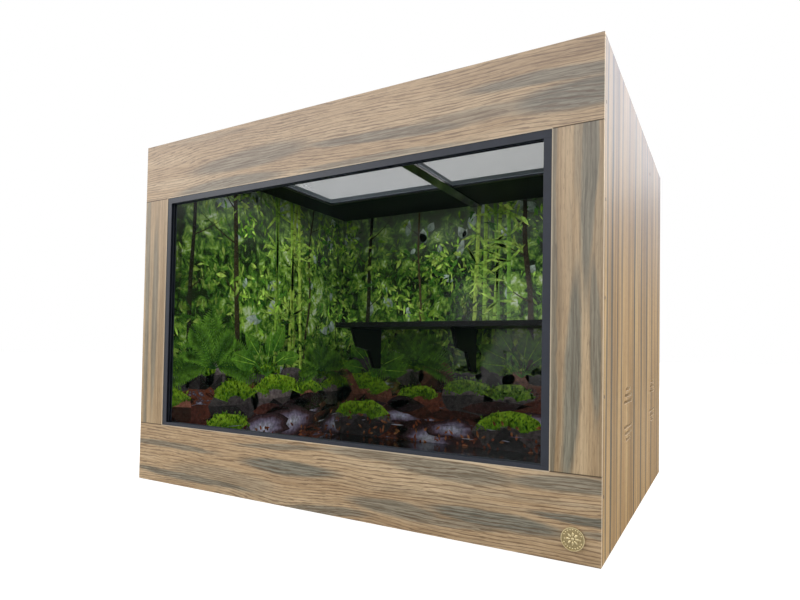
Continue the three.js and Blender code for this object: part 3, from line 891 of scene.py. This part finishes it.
def covers_hole(points):
    """True where an outline on the right wall would hide a vent or the probe port."""
    middle = (sum(p[0] for p in points) / len(points), sum(p[1] for p in points) / len(points))
    radius = max(math.dist(middle, p[:2]) for p in points)
    y = WALL_BACK - (middle[0] - STRIP_CORNERS[2])
    holes = [(hole, VENT_REACH) for hole in VENTS] + [(PORT, PORT_REACH)]
    return any(math.dist((y, middle[1]), hole) < radius + reach for hole, reach in holes)


def printed_walls(ink):
    """One piece for each wall, with the strip's shapes cut at the wall's edges."""
    art = draw_walls()
    for wall, (name, spot) in enumerate(WALLS):
        low, high = STRIP_CORNERS[wall], STRIP_CORNERS[wall + 1]
        vertices, faces, colours = [], [], []
        for outline, layer in art.shapes:
            points = outline
            for axis, limit, side in ((0, low, 1), (0, high, -1), (1, STRIP_LOW, 1), (1, STRIP_HIGH, -1)):
                points = trimmed(points, axis, limit, side) if len(points) > 2 else []
            if len(points) < 3 or (name == "right" and covers_hole(points)):
                continue
            first = len(vertices)
            lift = INK_GAP + layer * INK_LIFT
            vertices.extend(spot(p[0], p[1], lift) for p in points)
            colours.extend((p[2], p[3], p[4], 1.0) for p in points)
            faces.append(tuple(range(first, first + len(points))))
        mesh = bpy.data.meshes.new(f"print_art_{name}")
        mesh.from_pydata(vertices, [], faces)
        shades = mesh.color_attributes.new(name="ink", type="FLOAT_COLOR", domain="POINT")
        shades.data.foreach_set("color", [part for colour in colours for part in colour])
        made_piece(f"print_art_{name}", mesh, ink)


# ---- Ceiling mesh ----


def slab(vertices, faces, corners, low, high):
    """A flat four-cornered bar."""
    first = len(vertices)
    vertices.extend((x, y, z) for z in (low, high) for x, y in corners)
    faces.extend(
        tuple(first + i for i in face)
        for face in ((3, 2, 1, 0), (4, 5, 6, 7), (0, 1, 5, 4), (1, 2, 6, 5), (2, 3, 7, 6), (3, 0, 4, 7))
    )


def fine_mesh(side, material):
    """Expanded sheet: two crossing sets of slim diagonal strands inside a flat hem."""
    low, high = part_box(f"mesh_{side}")
    middle = (low + high) / 2
    half = (high.x - low.x) / 2
    vertices, faces = [], []
    count = int(half * math.sqrt(2) / STRAND_PITCH)
    for lean, rise in ((1, 0.0), (-1, STRAND_THICK)):
        for i in range(-count, count + 1):
            gap = i * STRAND_PITCH * math.sqrt(2)
            ends = (max(-half, -half - gap), min(half, half - gap))
            if ends[1] - ends[0] < STRAND_LEAST:
                continue
            wide = STRAND_WIDTH / 2
            shift = Vector((-wide, wide)) / math.sqrt(2)
            line = [Vector((x, x + gap)) for x in ends]
            corners = [line[0] - shift, line[1] - shift, line[1] + shift, line[0] + shift]
            spots = [
                (middle.x + lean * min(half, max(-half, c.x)), middle.y + min(half, max(-half, c.y)))
                for c in corners
            ]
            if lean < 0:
                spots.reverse()
            slab(vertices, faces, spots, low.z + rise, low.z + rise + STRAND_THICK)
    inner = half - STRAND_HEM
    for x0, x1, y0, y1 in (
        (-half, half, -half, -inner),
        (-half, half, inner, half),
        (-half, -inner, -inner, inner),
        (inner, half, -inner, inner),
    ):
        corners = [(middle.x + x, middle.y + y) for x, y in ((x0, y0), (x1, y0), (x1, y1), (x0, y1))]
        slab(vertices, faces, corners, low.z, high.z)
    mesh = bpy.data.meshes.new(f"fine_mesh_{side}")
    mesh.from_pydata(vertices, [], faces)
    piece = made_piece(f"fine_mesh_{side}", mesh, material)
    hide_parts(f"mesh_{side}")


# ---- Badge ----


def badge_relief(material):
    """Ring of beads round a rosette, in the badge's recess."""
    low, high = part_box("badge")
    middle = Vector(((low.x + high.x) / 2, low.y + BADGE_RECESS, (low.z + high.z) / 2))
    form = bmesh.new()

    def boss(x, z, size, turn=0.0):
        place = Matrix.Translation(middle + Vector((x, 0, z))) @ Matrix.Rotation(turn, 4, "Y")
        place = place @ Matrix.Diagonal((*size, 1))
        bmesh.ops.create_icosphere(form, subdivisions=2, radius=1.0, matrix=place)

    for i in range(BEADS["count"]):
        angle = 2 * math.pi * (i + 0.5) / BEADS["count"]
        if abs(math.sin(angle)) > BEADLESS:
            boss(BEADS["ring"] * math.cos(angle), BEADS["ring"] * math.sin(angle), BEADS["size"])
    for i in range(PETALS["count"]):
        angle = 2 * math.pi * i / PETALS["count"]
        boss(PETALS["ring"] * math.cos(angle), PETALS["ring"] * math.sin(angle), PETALS["size"], -angle)
    boss(0, 0, BADGE_HUB)
    mesh = bpy.data.meshes.new("badge_relief")
    form.to_mesh(mesh)
    form.free()
    mesh.shade_smooth()
    made_piece("badge_relief", mesh, material)


# ---- Materials on the CAD nodes ----

OPENING_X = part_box("right_fascia")[0].x
OPENING_LOW, OPENING_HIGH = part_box("bottom_fascia")[1].z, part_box("top_fascia")[0].z

RAIL_JOINTS = ((2, OPENING_LOW), (2, OPENING_HIGH))
rails = oak(
    "oak_rails", 0, 2, RAIL_STREAKS, RAIL_TONES, 1.0, FRONT_GLARE,
    joints=RAIL_JOINTS, highlit_edges=RAIL_JOINTS,
)
stiles = oak(
    "oak_stiles", 2, 0, STILE_STREAKS, STILE_TONES, 0.3, FRONT_GLARE,
    joints=RAIL_JOINTS, highlit_edges=((0, OPENING_X), (0, -OPENING_X)),
)
SIDE_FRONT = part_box("right_side_panel")[0].y
sides = oak(
    "oak_sides", 2, 1, SIDE_STREAKS, SIDE_TONES, 0.0, SIDE_GLARE,
    joints=((1, SIDE_FRONT),), raw_rounds=VENTS, sheen=0.09,
)
gloss_black = black_board("gloss_black_board", (0.09, 0.2), 0.5)
ceiling_black = black_board("ceiling_black_board", (0.42, 0.56), 0.05)
dull_black = matt_black()
plastic = track_plastic()
pane_glass = clear_glass()
prints = print_ground()
frame_metal = metal("frame_aluminium", tone(20, 21, 24), tone(44, 46, 51), 0.34, 90, (1, 8, 1))
mesh_metal = metal("mesh_aluminium", tone(86, 94, 102), tone(118, 127, 136), 0.42, 300)
BADGE_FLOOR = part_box("badge")[0].y + BADGE_RECESS
gold = metal("badge_brass", tone(206, 184, 132), tone(250, 238, 196), 0.34, 420, sunk=BADGE_FLOOR)
screw_metal = metal("screw_steel", tone(58, 42, 30), tone(98, 76, 56), 0.42, 600)

LOOKS = {
    rails: ("top_fascia", "bottom_fascia"),
    stiles: ("left_fascia", "right_fascia"),
    sides: ("left_side_panel", "right_side_panel"),
    gloss_black: ("floor_panel", "centre_batten"),
    ceiling_black: (
        "top_panel", "back_panel",
        "front_frame_top", "front_frame_bottom", "front_frame_left", "front_frame_right",
    ),
    dull_black: ("shelf", "shelf_bracket_left", "shelf_bracket_centre", "shelf_bracket_right"),
    plastic: ("top_track", "bottom_track", "left_channel", "right_channel"),
    pane_glass: ("glass_pane_left", "glass_pane_right"),
    prints: ("backdrop_left", "backdrop_right", "backdrop_back"),
    frame_metal: ("mesh_frame_left", "mesh_frame_right"),
    mesh_metal: ("mesh_left", "mesh_right"),
    gold: ("badge", "badge_pin_left", "badge_pin_right"),
    screw_metal: tuple(f"side_screw_{side}_{i}" for side in ("left", "right") for i in range(1, 6)),
    rubber(): ("probe_port_plug",),
}
for look, names in LOOKS.items():
    for name in names:
        dress(name, look)
for name in LOOKS[rails] + LOOKS[stiles] + LOOKS[sides][:1] + LOOKS[dull_black]:
    soften(name, EDGE_ROUND["wood"])
soften(LOOKS[sides][1], EDGE_ROUND["vent"], 60)
for name in LOOKS[plastic] + LOOKS[pane_glass]:
    soften(name, EDGE_ROUND["trim"])
for name in LOOKS[pane_glass]:
    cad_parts[name].visible_shadow = False

printed_walls(print_ink())
for side in ("left", "right"):
    fine_mesh(side, mesh_metal)
badge_relief(gold)

# ---- Stage ----


def shown_ray(t):
    """1 for rays that the camera sees directly, mirrored or through glass."""
    path = t.add("LightPath").outputs
    seen = t.math("ADD", path["Is Camera Ray"], path["Is Glossy Ray"])
    return t.math("ADD", seen, path["Is Transmission Ray"], clamp=True)


class WorldTree(Tree):
    """The same short ways for the surroundings."""

    def __init__(self, world):
        world.use_nodes = True
        self.tree = world.node_tree
        self.shader = self.tree.nodes["Background"]


def studio():
    """Pale endless floor, white surroundings and the lamps."""
    world = bpy.data.worlds.new("studio")
    bpy.context.scene.world = world
    t = WorldTree(world)
    strength = t.add("MapRange", {0: shown_ray(t), 3: WORLD_STRENGTH, 4: SHOWN_WHITE}).outputs[0]
    t.set(Color=(1, 1, 1, 1), Strength=strength)

    t = Tree("pale_floor")
    speckle = t.noise(t.place(), 3.0, 3.0)
    t.set(Base_Color=t.mix(speckle, *FLOOR_TONES), Roughness=0.9)
    t.set(Specular_IOR_Level=0.1)
    t.set(Emission_Color=(1, 1, 1, 1))
    t.set(Emission_Strength=t.math("MULTIPLY", t.add("LightPath").outputs["Is Camera Ray"], FLOOR_GLOW))
    mesh = bpy.data.meshes.new("floor")
    z = CAD_BOX[0].z - FLOOR_DROP
    corners = [(x * FLOOR_REACH, y * FLOOR_REACH, z) for x, y in ((-1, -1), (1, -1), (1, 1), (-1, 1))]
    mesh.from_pydata(corners, [], [(0, 1, 2, 3)])
    mesh.materials.append(t.material)
    floor = bpy.data.objects.new("floor", mesh)
    bpy.context.scene.collection.objects.link(floor)

    for name, lamp in LAMPS.items():
        data = bpy.data.lights.new(name, "AREA")
        data.shape = "SQUARE"
        data.size = lamp["size"]
        data.energy = lamp["power"]
        light = bpy.data.objects.new(name, data)
        bpy.context.scene.collection.objects.link(light)
        light.location = lamp["place"]
        light.visible_camera = False
        light.visible_glossy = name != UNMIRRORED
        aim = Vector(lamp["aim"]) - Vector(lamp["place"])
        light.rotation_euler = aim.to_track_quat("-Z", "Y").to_euler()


def camera():
    """The photo's camera."""
    data = bpy.data.cameras.new("camera")
    data.lens = CAMERA_LENS
    data.sensor_width = CAMERA_SENSOR
    data.shift_x, data.shift_y = CAMERA_SHIFT
    data.clip_start, data.clip_end = 0.01, 100.0
    yaw, pitch, roll = (math.radians(a) for a in (CAMERA_YAW, CAMERA_PITCH, CAMERA_ROLL))
    ahead = Vector((math.sin(yaw) * math.cos(pitch), math.cos(yaw) * math.cos(pitch), math.sin(pitch)))
    level = Vector((math.cos(yaw), -math.sin(yaw), 0))
    upright = level.cross(ahead)
    right = math.cos(roll) * level + math.sin(roll) * upright
    up = math.cos(roll) * upright - math.sin(roll) * level
    turn = Matrix((right, up, -ahead)).transposed().to_4x4()
    eye = bpy.data.objects.new("camera", data)
    bpy.context.scene.collection.objects.link(eye)
    eye.matrix_world = Matrix.Translation(CAMERA_PLACE) @ turn
    bpy.context.scene.camera = eye


studio()
camera()
bpy.context.scene.view_settings.view_transform = "Standard"
